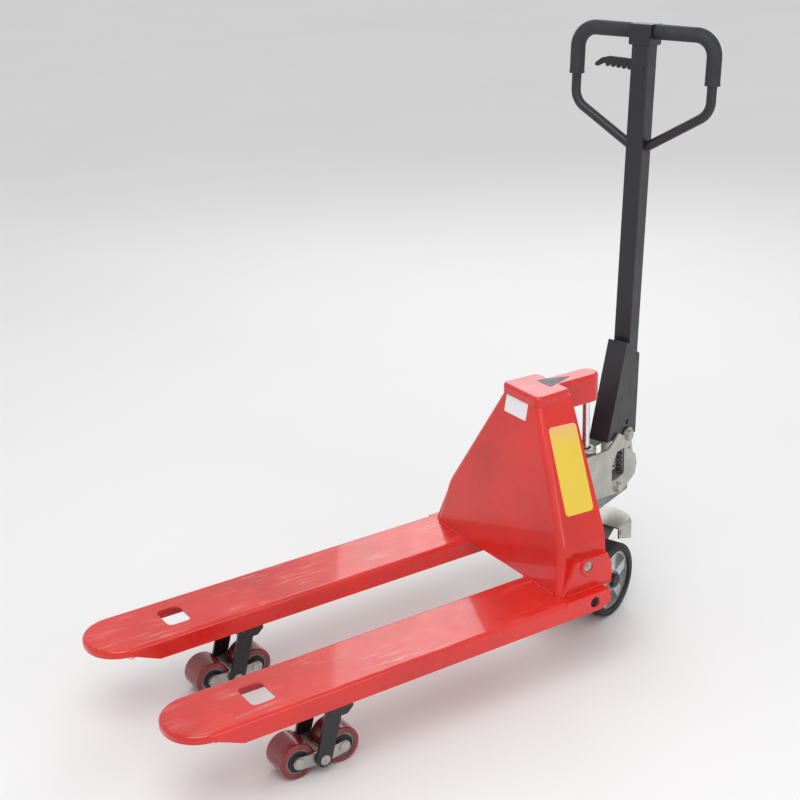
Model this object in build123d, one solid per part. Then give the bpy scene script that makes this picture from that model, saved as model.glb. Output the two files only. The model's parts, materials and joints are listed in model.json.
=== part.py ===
"""Hand pallet truck with its forks raised and its steering head turned to one side.

The chassis is modelled from the fork tips backwards: X across, Y to the rear, Z up from the floor.
What steers is modelled straight ahead about the king pin. What tilts is modelled about the handle pin.
"""

import os
from math import asin, atan2, cos, degrees, hypot, radians, sin, tan

from build123d import *

# Overall sizes, in millimetres
overall_width = 540
fork_width = 160
fork_length = 922
lowered_height = 90
lift = 120
king_reach = 265
steer_angle = 21

# Sheet, clearances and shared pieces
wall = 4
running_fit = 0.05
seat_gap = 0.3

# Forks
flange_depth = 44
bend_radius = 9
nose_radius = 76
nose_depth = 17
taper_start = 132
taper_end = 70
slot_centre_y = 203
slot_width = 73
slot_length = 54
slot_corner = 12
nose_roller_y = 75
nose_roller_radius = 13
nose_roller_half = 70
nose_pin_radius = 4
nose_pin_drop = 18

# Heels and tower
heel_length = 121
heel_hole_radius = 13
heel_hole_reach = 78
heel_hole_drop = 22
tower_foot_half = 238
tower_knee_half = 217
tower_knee_rise = 108
tower_top_half = 62
tower_top_rise = 380
tower_lean = 11.2
tower_bend = 16
tower_knee_bend = 90
tower_foot_depth = 132
tower_top_depth = 170
cheek_outer = 246
cheek_rise = 75
cheek_depth = 142
boss_radius = 19
boss_stand = 4
head_drop = 8
head_rise = 15
head_half = 68
head_overhang = 4
snout_radius = 26
snout_bottom_rise = 328
head_round = 8
head_corner = 16
head_wall = 8

# Rocker that links the pump to the forks
shaft_reach = 74
shaft_rise = 58
shaft_radius = 12
rocker_tube_radius = 21
rocker_tube_half = 214
rear_arm_inner = 37
rear_arm_outer = 47
rear_arm_half = 9
eye_half = 12
eye_slot_play = 2
crank_length = 76.3
crank_half_width = 6
crank_end_radius = 10
crank_pin_radius = 5

# Load ends: arms, bogies and rollers
bogie_y = 321.5
arm_pivot_drop = 54
arm_lean_offset = 33
arm_shaft_radius = 10
arm_plate_inner = 43
arm_plate_outer = 49
arm_end_radius = 18
arm_hub_radius = 17
arm_web_reach = 25
lug_radius = 37.7
hanger_thickness = 6
hanger_half = 24
hanger_below = 13
load_roller_radius = 40
load_roller_half = 33
load_core_radius = 28
load_axle_radius = 8
load_axle_head = 11
bogie_pivot_z = 35
bogie_spacing = 52
link_inner = 34.5
link_outer = 40
link_end_radius = 14
bogie_pin_radius = 7
rod_drop = 18
rod_radius = 8
rod_eye_inner = 7
rod_eye_outer = 12
rod_block_gap = 21

# Steering wheels and axle carrier
wheel_radius = 90
wheel_centre_x = 61
tyre_width = 50
tyre_inner_radius = 72
hub_width = 36
hub_boss_radius = 25
hub_boss_width = 42
hub_rib_width = 24
hub_rib_count = 5
hub_pocket_depth = 13
rim_ring = 7
axle_radius = 10
cap_radius = 17
cap_height = 9
carrier_half = 29
king_pin_radius = 15
carriage_radius = 34
carriage_bottom = 208
carriage_top = 236
carriage_pin_z = 222
carriage_pin_radius = 5

# Wheel guard
guard_z = 196
guard_front = 53
guard_rear = 149
guard_half = 66
guard_rear_radius = 80
guard_skirt = 50
guard_skirt_front = 28
guard_rivet_y = 63
guard_rivet_drop = 14
guard_rivet_radius = 6

# Pump
pump_base_radius = 30
pump_step_z = 252
pump_top_z = 296
pump_half = 26
cylinder_radius = 25
cylinder_top = 408
gland_height = 8
ram_radius = 9
ram_cavity_floor = 262
plate_inner = 27
plate_outer = 32
bolt_y = 100
bolt_z = 282
bolt_radius = 8
bolt_head_radius = 14

# Plunger and return spring
plunger_y = 165
plunger_radius = 8
plunger_head_radius = 16
plunger_head_height = 8
plunger_travel = 24
plunger_gap = 1.6
plunger_entry = 14
barrel_radius = 11
spring_floor = 272
spring_radius = 16
spring_wire = 2.2
spring_turns = 8

# Handle, in its own frame with the pin at the origin and the column upright
pin_y = 153
pin_z = 398
handle_pin_radius = 8
handle_lean = 4.4
bracket_half = 25
column_width = 42
column_depth = 45
column_centre = 15.5
column_bottom = 60
column_wall = 3
crossbar_height = 947
crossbar_y = 17
loop_half = 171
loop_corner = 46
loop_side = 168
loop_join = 257
loop_tube_radius = 11
loop_tube_wall = 2.5
grip_radius = 17
grip_reach = 106
collar_half = 27
cam_roller_radius = 10
cam_roller_half = 12
cam_roller_y = 24
cam_roller_z = -6
lever_height = 873
lever_reach = 120
lever_thickness = 8
lever_pivot_x = 9
lever_pin_radius = 3

# Worked-out sizes
fork_top = lowered_height + lift
fork_x = (overall_width - fork_width) / 2
fork_inner_half = fork_width / 2 - wall
flange_bottom = fork_top - flange_depth
heel_rear = fork_length + heel_length
heel_hole_y = fork_length + heel_hole_reach
tower_rear_foot = fork_length + tower_foot_depth
tower_rear_top = fork_length + tower_top_depth
cheek_rear = fork_length + cheek_depth
shaft_y = fork_length + shaft_reach
king_y = fork_length + king_reach
arm_pivot_y = bogie_y + arm_lean_offset
arm_pivot_z = fork_top - arm_pivot_drop
arm_length = hypot(arm_lean_offset, arm_pivot_z - bogie_pivot_z)
arm_raised_angle = degrees(atan2(arm_lean_offset, arm_pivot_z - bogie_pivot_z))
arm_lowered_angle = 90 - degrees(asin((arm_pivot_z - lift - bogie_pivot_z) / arm_length))
arm_swing = arm_lowered_angle - arm_raised_angle
lug_travel = 2 * lug_radius * sin(radians(arm_swing / 2))
rod_z = fork_top - rod_drop
shaft_z = fork_top + shaft_rise
rear_arm_reach = king_y - shaft_y
rocker_raised_angle = degrees(atan2(shaft_z - carriage_pin_z, rear_arm_reach))
rocker_lowered_angle = degrees(atan2(carriage_pin_z - shaft_z + lift, rear_arm_reach))
rocker_swing = rocker_raised_angle + rocker_lowered_angle
crank_travel = 2 * crank_length * sin(radians(rocker_swing / 2))
tower_top = fork_top + tower_top_rise
head_top = tower_top + head_rise
snout_bottom = fork_top + snout_bottom_rise
ram_bottom = ram_cavity_floor + lift + 3
cam_lean = radians(handle_lean)
cam_drop = cam_roller_radius + cam_roller_y * sin(cam_lean) - cam_roller_z * cos(cam_lean)
plunger_top = pin_z - cam_drop - plunger_gap


def block(x, y, z):
    """Box between low and high values given as pairs."""
    middle = [(low + high) / 2 for low, high in (x, y, z)]
    return Pos(*middle) * Box(x[1] - x[0], y[1] - y[0], z[1] - z[0])


def bar_x(radius, x, y, z):
    """Round bar along X between the two values of x."""
    return Pos((x[0] + x[1]) / 2, y, z) * Rot(0, 90, 0) * Cylinder(radius, x[1] - x[0])


def bar_y(radius, x, y, z):
    """Round bar along Y between the two values of y."""
    return Pos(x, (y[0] + y[1]) / 2, z) * Rot(90, 0, 0) * Cylinder(radius, y[1] - y[0])


def bar_z(radius, x, y, z):
    """Round bar along Z between the two values of z."""
    return Pos(x, y, (z[0] + z[1]) / 2) * Cylinder(radius, z[1] - z[0])


def plate(outline, x):
    """Plate of a side outline, drawn in Y and Z, between the two values of x."""
    return extrude(Plane.YZ.offset(x[0]) * outline, x[1] - x[0])


def side_outline(*points):
    """Side outline with straight edges through points given as (y, z)."""
    return make_face(Polyline(*points, close=True))


def disc(y, z, radius):
    """Round side outline about (y, z)."""
    return Pos(y, z) * Circle(radius)


def link(*discs):
    """Side outline drawn tightly round several (y, z, radius) discs."""
    return make_hull([disc(*one).edge() for one in discs])


def both_sides(x, make):
    """The piece that make builds for the span x, joined to its mirror image."""
    right = make(x)
    return right + mirror(right, Plane.YZ)


def fork_form(inset):
    """The fork's outside, or the hollow under it when inset by the wall."""
    half = fork_width / 2 - inset
    rear = fork_length + (1 if inset else 0)
    plan = Pos(0, (inset + rear) / 2) * Rectangle(2 * half, rear - inset)
    plan = fillet(plan.vertices().group_by(Axis.Y)[0], nose_radius - inset)
    form = Pos(0, 0, flange_bottom - inset) * extrude(plan, flange_depth)
    top = form.faces().sort_by(Axis.Z)[-1]
    rims = [edge for edge in top.edges() if edge.center().Y < rear - 1]
    return fillet(rims, bend_radius - inset)


def fork():
    """One fork about its own centre line: pressed channel with a rounded nose and a roller slot."""
    body = fork_form(0) - fork_form(wall)
    nose_bottom_z = fork_top - nose_depth
    under = side_outline(
        (-1, nose_bottom_z),
        (taper_end, nose_bottom_z),
        (taper_start, flange_bottom),
        (-1, flange_bottom),
    )
    body -= plate(under, (-fork_width, fork_width))
    slot = Pos(0, slot_centre_y) * RectangleRounded(slot_width, slot_length, slot_corner)
    body -= Pos(0, 0, fork_top - wall - 1) * extrude(slot, wall + 2)
    nose_pin_z = fork_top - nose_pin_drop
    span = (-fork_inner_half - 1, fork_inner_half + 1)
    return body + bar_x(nose_pin_radius, span, nose_roller_y, nose_pin_z)


def nose_roller():
    """Small nylon roller that helps the fork's nose over a pallet board."""
    z = fork_top - nose_pin_drop
    span = (-nose_roller_half, nose_roller_half)
    roller = fillet(bar_x(nose_roller_radius, span, nose_roller_y, z).edges(), 3)
    return roller - bar_x(nose_pin_radius + running_fit, (-fork_width, fork_width), nose_roller_y, z)


def tower_front(z):
    """Where the tower's leaning front face is at height z."""
    return fork_length + (z - fork_top) * tan(radians(tower_lean))


def tower_form(inset):
    """The tower's outside, or the hollow in it when inset by the wall."""
    low = fork_top - 30
    knee_z = fork_top + tower_knee_rise
    right = [
        (tower_foot_half, low),
        (tower_foot_half, fork_top),
        (tower_knee_half, knee_z),
        (tower_top_half, tower_top),
    ]
    left = [(-x, z) for x, z in reversed(right)]
    face = make_face(Polyline(*right, *left, close=True))
    knees = [v for v in face.vertices() if abs(v.Y - knee_z) < 1]
    face = fillet(knees, tower_knee_bend)
    if inset:
        face = offset(face, -inset)
    body = Pos(0, king_y, 0) * extrude(Plane.XZ * face, king_reach + 50)
    front = inset / cos(radians(tower_lean))
    rear = 30 if inset else 0
    side = side_outline(
        (tower_front(low) + front, low),
        (tower_front(tower_top) + front, tower_top),
        (tower_rear_top + rear, tower_top),
        (tower_rear_foot + rear, low),
    )
    body &= plate(side, (-overall_width, overall_width))
    face = body.faces().sort_by(Axis.Y)[0]
    bends = [edge for edge in face.edges() if abs(edge.center().X) > wall]
    body = fillet(bends, tower_bend - inset)
    if inset:
        return body
    return body - block((-overall_width, overall_width), (fork_length - 50, king_y), (low - 1, fork_top))


def shaft_hole(radius):
    """Bar along the rocker shaft, to bore what the shaft runs in."""
    return bar_x(radius, (-overall_width, overall_width), shaft_y, shaft_z)


def heel(form):
    """Right heel: the fork's channel behind the tower's front, and the cheek that holds the rocker."""
    outer = fork_x + fork_width / 2
    inner = fork_x - fork_width / 2
    profile = side_outline(
        (fork_length, fork_top),
        (fork_length, flange_bottom),
        (heel_rear - 30, flange_bottom),
        (heel_rear, flange_bottom + 12),
        (heel_rear, fork_top - 4),
        (heel_rear - 4, fork_top),
    )
    body = plate(profile, (inner, outer)) - plate(profile, (inner + wall, outer - wall))
    top = block((inner, outer), (fork_length, heel_rear - 4), (fork_top - wall, fork_top))
    top -= block((fork_x - 45, fork_x + 45), (fork_length + 22, heel_rear - 10), (fork_top - 9, fork_top + 1))
    body += top
    body -= plate(disc(heel_hole_y, fork_top - heel_hole_drop, heel_hole_radius), (outer - wall - 1, outer + 1))
    cheek_top = fork_top + cheek_rise
    cheek = side_outline(
        (fork_length + 8, fork_top),
        (tower_front(cheek_top) + 30, cheek_top),
        (cheek_rear - 12, cheek_top),
        (cheek_rear, cheek_top - 30),
        (cheek_rear, fork_top),
    )
    body += plate(cheek, (tower_knee_half, cheek_outer)) - form
    body += bar_x(boss_radius, (tower_foot_half + 1, cheek_outer + boss_stand), shaft_y, shaft_z)
    return body - shaft_hole(shaft_radius + running_fit)


def tower_shell(form):
    """Bent sheet tower, open at the rear, bored for the rocker shaft."""
    return form - tower_form(wall) - shaft_hole(shaft_radius + 4)


def tower_head(form, shell):
    """Hollow head that closes the tower's top, with a round snout that reaches back over the ram."""
    front = tower_front(tower_top) - head_overhang + head_corner
    rear = tower_rear_top + 2 - head_corner
    front_half = head_half - head_corner
    rear_half = tower_top_half + 2 - head_corner
    corners = [(-front_half, front), (front_half, front), (-rear_half, rear), (rear_half, rear)]
    lid = make_hull([Pos(*corner) * Circle(head_corner).edge() for corner in corners])
    snout = make_hull([Pos(0, y) * Circle(snout_radius).edge() for y in (rear, king_y)])
    body = Pos(0, 0, tower_top - head_drop) * extrude(lid + snout, head_rise + head_drop)
    body = fillet(body.edges().group_by(Axis.Z)[-1], head_round) - form
    snout = Pos(0, 0, snout_bottom) * extrude(snout, tower_top - snout_bottom + 1)
    body += fillet(snout.edges().group_by(Axis.Z)[0], 4) - shell
    hollow_half = snout_radius - head_wall
    hollow_rear = king_y - ram_radius - 12
    hollow_z = (snout_bottom + head_wall, head_top - head_wall)
    return body - (block((-hollow_half, hollow_half), (front, hollow_rear), hollow_z) - shell)


def ram():
    """Chromed lift ram under the head, running down into the pump."""
    return bar_z(ram_radius, 0, king_y, (ram_bottom, snout_bottom))


def radial(angle, reach):
    """Point at a reach from the rocker shaft, at an angle below the rearward level."""
    return shaft_y + reach * cos(radians(angle)), shaft_z - reach * sin(radians(angle))


def rocker():
    """Welded rocker: cross tube, two rear arms with slotted eyes and a crank down into each fork."""
    nearest = rear_arm_reach
    furthest = rear_arm_reach / cos(radians(max(rocker_lowered_angle, rocker_raised_angle)))
    start = (*radial(rocker_raised_angle, nearest), eye_half)
    end = (*radial(rocker_raised_angle, furthest), eye_half)
    root = (shaft_y, shaft_z, rear_arm_half)
    slot = [(y, z, carriage_pin_radius + eye_slot_play) for y, z, _ in (start, end)]
    slim = (*radial(rocker_raised_angle, nearest), rear_arm_half)
    arm = link(root, slim) + link(start, end) - link(*slot)
    body = both_sides((rear_arm_inner, rear_arm_outer), lambda x: plate(arm, x))
    lean = rocker_swing / 2
    crank_y = shaft_y - crank_length * sin(radians(lean))
    crank_z = shaft_z - crank_length * cos(radians(lean))
    crank = link((shaft_y, shaft_z, rocker_tube_radius - 3), (crank_y, crank_z, crank_end_radius))
    body += both_sides(
        (fork_x - crank_half_width, fork_x + crank_half_width),
        lambda x: plate(crank, x) + bar_x(crank_pin_radius, (x[0] - 8, x[1] + 8), crank_y, crank_z),
    )
    body += bar_x(rocker_tube_radius, (-rocker_tube_half, rocker_tube_half), shaft_y, shaft_z)
    return body - shaft_hole(shaft_radius + running_fit)


def rocker_shaft():
    """Shaft that the rocker turns on, ending just inside the bosses."""
    end = cheek_outer + boss_stand - 3
    return bar_x(shaft_radius, (-end, end), shaft_y, shaft_z)


def lug_point():
    """The lug pin's place with the forks raised."""
    lean = radians(arm_swing / 2)
    return arm_pivot_y - lug_radius * sin(lean), arm_pivot_z + lug_radius * cos(lean)


def push_rod():
    """Rod that pushes the load arm down, with a slotted clevis at each end."""
    lug_y, _ = lug_point()
    crank_y = shaft_y - crank_length * sin(radians(rocker_swing / 2))
    body = bar_y(rod_radius, 0, (lug_y + rod_block_gap, crank_y - rod_block_gap), rod_z)
    for pin_place, inward, slot_low, slot_high in ((lug_y, 1, -7, 3), (crank_y, -1, -1, 5.5)):
        hole = crank_pin_radius + 0.8
        slot = link((pin_place, rod_z + slot_low, hole), (pin_place, rod_z + slot_high, hole))
        middle = rod_z + (slot_low + slot_high) / 2
        tip = link((pin_place, middle, 12), (pin_place + inward * (rod_block_gap + 6), rod_z, 9))
        ears = both_sides((rod_eye_inner, rod_eye_outer), lambda x: plate(tip - slot, x))
        start = pin_place + inward * (rod_block_gap - 3)
        ends = sorted((start, pin_place + inward * (rod_block_gap + 9)))
        body += ears + block((-rod_eye_outer, rod_eye_outer), ends, (rod_z - 8, rod_z + 8))
    return body


def arm_pivot():
    """Two hangers welded inside the fork and the shaft that the load arm turns on."""
    low = arm_pivot_z - hanger_below
    high = fork_top - bend_radius - 2
    ear = side_outline(
        (arm_pivot_y - hanger_half, high),
        (arm_pivot_y - hanger_half, arm_pivot_z),
        (arm_pivot_y - 10, low),
        (arm_pivot_y + 10, low),
        (arm_pivot_y + hanger_half, arm_pivot_z),
        (arm_pivot_y + hanger_half, high),
    )
    span = (fork_inner_half - hanger_thickness, fork_inner_half)
    shaft = bar_x(arm_shaft_radius, (-fork_inner_half, fork_inner_half), arm_pivot_y, arm_pivot_z)
    return both_sides(span, lambda x: plate(ear, x)) + shaft


def load_arm():
    """Load arm: two side plates, a web, the hub on its shaft and the lug that the push rod moves."""
    pivot = (arm_pivot_y, arm_pivot_z)
    side = link((*pivot, arm_hub_radius + 2), (bogie_y, bogie_pivot_z, arm_end_radius))
    side -= disc(bogie_y, bogie_pivot_z, bogie_pin_radius + running_fit)
    body = both_sides((arm_plate_inner, arm_plate_outer), lambda x: plate(side, x))
    hub_half = fork_inner_half - hanger_thickness - seat_gap
    body += bar_x(arm_hub_radius, (-hub_half, hub_half), *pivot)
    web = block((-arm_plate_inner - 1, arm_plate_inner + 1), (-18, -12), (-arm_web_reach, 0))
    body += Pos(0, *pivot) * Rot(-arm_raised_angle, 0, 0) * web
    lug_y, lug_z = lug_point()
    body += plate(link((*pivot, 15), (lug_y, lug_z, 9)), (-crank_half_width, crank_half_width))
    body += bar_x(crank_pin_radius, (-13.5, 13.5), lug_y, lug_z)
    return body - bar_x(arm_shaft_radius + running_fit, (-fork_width, fork_width), *pivot)


def bogie_pin():
    """Headed pin that joins the bogie to the load arm."""
    pin = bar_x(bogie_pin_radius, (-arm_plate_outer - 1, arm_plate_outer + 1), bogie_y, bogie_pivot_z)
    heads = both_sides((arm_plate_outer, arm_plate_outer + 4), lambda x: bar_x(11, x, bogie_y, bogie_pivot_z))
    return pin + heads


def axle_places():
    """The two roller axles of a bogie, as (y, z)."""
    return [(bogie_y + way * bogie_spacing, load_roller_radius) for way in (-1, 1)]


def bogie():
    """Bogie: two link plates joined by a tube round the bogie pin."""
    pivot = (bogie_y, bogie_pivot_z)
    discs = [(y, z, link_end_radius) for y, z in axle_places()]
    side = link(discs[0], (*pivot, link_end_radius)) + link(discs[1], (*pivot, link_end_radius))
    body = both_sides((link_inner, link_outer), lambda x: plate(side, x))
    body += bar_x(bogie_pin_radius + 2.5, (-link_outer, link_outer), *pivot)
    body -= bar_x(bogie_pin_radius + running_fit, (-fork_width, fork_width), *pivot)
    for place in axle_places():
        body -= bar_x(load_axle_radius + running_fit, (-fork_width, fork_width), *place)
    return body


def roller_axles():
    """The bogie's two roller axles, each with a round head at both ends."""
    axles = []
    head_end = arm_plate_inner - seat_gap
    for place in axle_places():
        heads = both_sides((link_outer, head_end), lambda x: bar_x(load_axle_head, x, *place))
        heads = fillet(heads.edges().group_by(Axis.X)[-1] + heads.edges().group_by(Axis.X)[0], 1.5)
        axles.append(heads + bar_x(load_axle_radius, (-link_outer - 1, link_outer + 1), *place))
    return Compound(children=axles)


def load_tread(place):
    """Polyurethane tread of one load roller."""
    span = (-load_roller_half, load_roller_half)
    tread = fillet(bar_x(load_roller_radius, span, *place).edges(), 4)
    return tread - bar_x(load_core_radius, (-fork_width, fork_width), *place)


def load_core(place):
    """Steel core of one load roller, dished round its bearings."""
    core = bar_x(load_core_radius, (-load_roller_half + 2, load_roller_half - 2), *place)
    for x in ((-fork_width, -load_roller_half + 6), (load_roller_half - 6, fork_width)):
        core -= bar_x(load_core_radius - 4, x, *place) - bar_x(14, x, *place)
    return core - bar_x(load_axle_radius + running_fit, (-fork_width, fork_width), *place)


def carriage():
    """Thrust carriage under the pump, with the two stub pins that the rocker's eyes carry."""
    body = bar_z(carriage_radius, 0, 0, (carriage_bottom, carriage_top))
    body += bar_x(carriage_pin_radius, (-rear_arm_outer - 2, rear_arm_outer + 2), 0, carriage_pin_z)
    body -= bar_z(king_pin_radius + running_fit, 0, 0, (carriage_bottom - 1, carriage_top + 1))
    return body


def axle_carrier():
    """Block between the steering wheels, with the king pin that stands up through the carriage."""
    top = carriage_bottom - seat_gap
    body = block((-carrier_half, carrier_half), (-26, 26), (wheel_radius - 26, top))
    body = fillet(body.edges().filter_by(Axis.X), 8)
    body += bar_z(king_pin_radius, 0, 0, (top - 1, carriage_top + seat_gap))
    return body - bar_x(axle_radius + running_fit, (-100, 100), 0, wheel_radius)


def axle():
    """Steering wheel axle."""
    end = wheel_centre_x + hub_boss_width / 2 - 2
    return bar_x(axle_radius, (-end, end), 0, wheel_radius)


def tyre():
    """Rubber tyre of a steering wheel."""
    span = (-tyre_width / 2, tyre_width / 2)
    body = fillet(bar_x(wheel_radius, span, 0, wheel_radius).edges(), 7)
    return body - bar_x(tyre_inner_radius, (-100, 100), 0, wheel_radius)


def hub():
    """Cast hub with a rim ring, a boss and broad ribs between pockets."""
    body = bar_x(tyre_inner_radius, (-hub_width / 2, hub_width / 2), 0, wheel_radius)
    ribs = []
    for number in range(hub_rib_count):
        rib = block((-100, 100), (-hub_rib_width / 2, hub_rib_width / 2), (0, tyre_inner_radius))
        ribs.append(Pos(0, 0, wheel_radius) * Rot(360 * number / hub_rib_count, 0, 0) * rib)
    for way in (-1, 1):
        x = sorted((way * (hub_width / 2 - hub_pocket_depth), way * hub_width))
        pocket = bar_x(tyre_inner_radius - rim_ring, x, 0, wheel_radius)
        body -= pocket - bar_x(hub_boss_radius, (-100, 100), 0, wheel_radius) - ribs
    body += bar_x(hub_boss_radius, (-hub_boss_width / 2, hub_boss_width / 2), 0, wheel_radius)
    return body - bar_x(axle_radius + running_fit, (-100, 100), 0, wheel_radius)


def wheel_cap():
    """Plastic cap over the outer end of the axle."""
    face = hub_boss_width / 2
    body = bar_x(cap_radius, (face, face + cap_height), 0, wheel_radius)
    return fillet(body.edges().group_by(Axis.X)[-1], 4)


def wheel_guard():
    """Toe guard over the rear of the wheels, round at the back, with sides turned down and riveted."""
    length = guard_rear - guard_front
    plan = Pos(0, (guard_front + guard_rear) / 2) * Rectangle(2 * guard_half, length)
    plan &= Pos(0, guard_rear - guard_rear_radius) * Circle(guard_rear_radius)
    top_z = guard_z + wall
    skirt_z = top_z - guard_skirt
    body = Pos(0, 0, skirt_z) * extrude(plan, guard_skirt)
    rims = [edge for edge in body.edges().group_by(Axis.Z)[-1] if edge.center().Y > guard_front + 1]
    body = fillet(rims, 5)
    body -= Pos(0, 0, skirt_z - 1) * extrude(offset(plan, -wall), guard_skirt - wall + 1)
    inner_half = guard_half - wall
    body -= block((-inner_half, inner_half), (0, guard_front + 9), (skirt_z - 1, guard_z))
    under = side_outline(
        (0, skirt_z - 1),
        (0, top_z - guard_skirt_front),
        (guard_front, top_z - guard_skirt_front),
        (guard_rear - 35, skirt_z - 1),
    )
    body -= plate(under, (-2 * guard_half, 2 * guard_half))
    rivet_z = top_z - guard_rivet_drop
    span = (guard_half - 1, guard_half + 3)
    return body + both_sides(span, lambda x: bar_x(guard_rivet_radius, x, guard_rivet_y, rivet_z))


def guard_bracket():
    """Bracket that carries the guard from the axle carrier."""
    rear = guard_rear - 30
    side = side_outline((26, 150), (26, guard_z), (rear, guard_z), (rear, guard_z - 18), (70, 152))
    form = plate(side, (-26, 26))
    return form - block((-21, 21), (31, guard_rear), (100, guard_z - 5))


def pump_body():
    """Pump casting: base on the carriage, block for the ram's cylinder and the plunger's barrel."""
    body = bar_z(pump_base_radius, 0, 0, (carriage_top + seat_gap, pump_step_z + 1))
    plan = make_hull([disc(0, y, pump_half).edge() for y in (-8, plunger_y - 8)])
    body += Pos(0, 0, pump_step_z) * extrude(plan, pump_top_z - pump_step_z)
    cut = (plunger_y - spring_radius - 2, plunger_y + 2 * pump_half)
    body -= block((-pump_half, pump_half), cut, (spring_floor, pump_top_z + 1))
    body += bar_z(barrel_radius, 0, plunger_y, (spring_floor - 1, pump_top_z))
    body -= bar_z(ram_radius + 0.5, 0, 0, (ram_cavity_floor, pump_top_z + 1))
    barrel_floor = pump_top_z - plunger_entry - plunger_travel - 2
    body -= bar_z(plunger_radius + running_fit, 0, plunger_y, (barrel_floor, pump_top_z + 1))
    return body - bar_x(bolt_radius + running_fit, (-60, 60), bolt_y, bolt_z)


def pump_cylinder():
    """Tube that the ram stands in."""
    body = bar_z(cylinder_radius, 0, 0, (pump_top_z, cylinder_top))
    return body - bar_z(ram_radius + 0.5, 0, 0, (pump_top_z - 1, cylinder_top + 1))


def gland():
    """Domed gland round the ram."""
    body = bar_z(cylinder_radius + 1, 0, 0, (cylinder_top, cylinder_top + gland_height))
    body = fillet(body.edges().group_by(Axis.Z)[-1], 6)
    return body - bar_z(ram_radius + running_fit, 0, 0, (cylinder_top - 1, cylinder_top + 30))


def pump_plate():
    """Right side plate of the pump, with the handle pin's boss and the spring window."""
    body = side_outline(
        (-52, 300), (-54, 412), (57, 396), (104, 420), (140, 400), (166, 386),
        (176, 345), (188, 338), (197, 312), (189, 284), (166, 275), (119, 262), (8, 286),
    )
    body += disc(pin_y, pin_z, 20)
    body -= disc(pin_y, pin_z, handle_pin_radius + running_fit)
    body -= disc(bolt_y, bolt_z, bolt_radius + running_fit)
    body -= disc(pin_y + 3, pin_z - 33, 4)
    window = side_outline((72, 303), (72, 345), (96, 375), (132, 373), (132, 306))
    return plate(body - fillet(window.vertices(), 5), (plate_inner, plate_outer))


def handle_pin():
    """Headed pin that the handle tilts on."""
    pin = bar_x(handle_pin_radius, (-plate_outer - 1, plate_outer + 1), pin_y, pin_z)
    return pin + both_sides((plate_outer, plate_outer + 6), lambda x: bar_x(13, x, pin_y, pin_z))


def plate_bolt():
    """Bolt and nut that clamp the side plates to the pump block."""
    pin = bar_x(bolt_radius, (-plate_outer - 1, plate_outer + 1), bolt_y, bolt_z)
    head = Plane.YZ.offset(plate_outer + 2) * Pos(bolt_y, bolt_z) * RegularPolygon(bolt_head_radius - 2, 6)
    washer = both_sides((plate_outer, plate_outer + 2), lambda x: bar_x(bolt_head_radius, x, bolt_y, bolt_z))
    nut = extrude(head, 7)
    return pin + washer + nut + mirror(nut, Plane.YZ)


def plunger():
    """Pump plunger with the head that the cam roller presses."""
    stem = bar_z(plunger_radius, 0, plunger_y, (pump_top_z - plunger_entry, plunger_top))
    head = bar_z(plunger_head_radius, 0, plunger_y, (plunger_top - plunger_head_height, plunger_top))
    return stem + fillet(head.edges().group_by(Axis.Z)[-1], 2)


def return_spring():
    """Coil spring that lifts the plunger and the handle."""
    low = spring_floor + spring_wire + seat_gap
    height = plunger_top - plunger_head_height - spring_wire - seat_gap - low
    radius = spring_radius - spring_wire
    path = Helix(pitch=height / spring_turns, height=height, radius=radius)
    wire = Plane(path @ 0, z_dir=path % 0) * Circle(spring_wire)
    return Pos(0, plunger_y, low) * sweep(wire, path=path)


def handle_bracket():
    """Bent channel at the foot of the handle, open to the rear."""
    front = [(-94, 5), (-25, 236)]
    side = side_outline(*front, (41, 195), (46, -5))
    form = plate(side, (-bracket_half, bracket_half))
    hollow = side_outline((-94 + 1.2 * wall, -20), (-25 + 1.2 * wall, 240), (80, 240), (80, -20))
    body = form - plate(hollow, (wall - bracket_half, bracket_half - wall))
    body -= bar_x(handle_pin_radius + running_fit, (-60, 60), 0, 0)
    rivets = both_sides((bracket_half - 1, bracket_half + 3), lambda x: bar_x(6, x, 4, 31))
    return body + rivets + bar_x(4, (1 - bracket_half, bracket_half - 1), cam_roller_y, cam_roller_z)


def cam_roller():
    """Roller behind the handle pin that presses the plunger."""
    roller = bar_x(cam_roller_radius, (-cam_roller_half, cam_roller_half), cam_roller_y, cam_roller_z)
    return roller - bar_x(4 + running_fit, (-60, 60), cam_roller_y, cam_roller_z)


def column():
    """Square tube from the bracket to the crossbar, slotted for the release lever."""
    half = column_width / 2
    y = (column_centre - column_depth / 2, column_centre + column_depth / 2)
    tube = block((-half, half), y, (column_bottom, crossbar_height))
    tube = fillet(tube.edges().filter_by(Axis.Z), 3)
    inner_y = (y[0] + column_wall, y[1] - column_wall)
    inner_z = (column_bottom - 1, crossbar_height + 1)
    tube -= block((column_wall - half, half - column_wall), inner_y, inner_z)
    tube -= bar_x(loop_tube_radius + running_fit, (-60, 60), crossbar_y, crossbar_height)
    tube -= block((-half - 1, 0), (column_centre - 6, column_centre + 6), (lever_height - 22, lever_height + 24))
    return tube + bar_y(lever_pin_radius, lever_pivot_x, y, lever_height - 6)


def loop_points(start, end):
    """Corners of the right half of the handle loop, from the crossbar's middle to the column."""
    side_end = crossbar_height - loop_side
    points = [(start, crossbar_height), (loop_half, crossbar_height), (loop_half, side_end)]
    return [Vector(x, crossbar_y, z) for x, z in (*points, end)]


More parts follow.
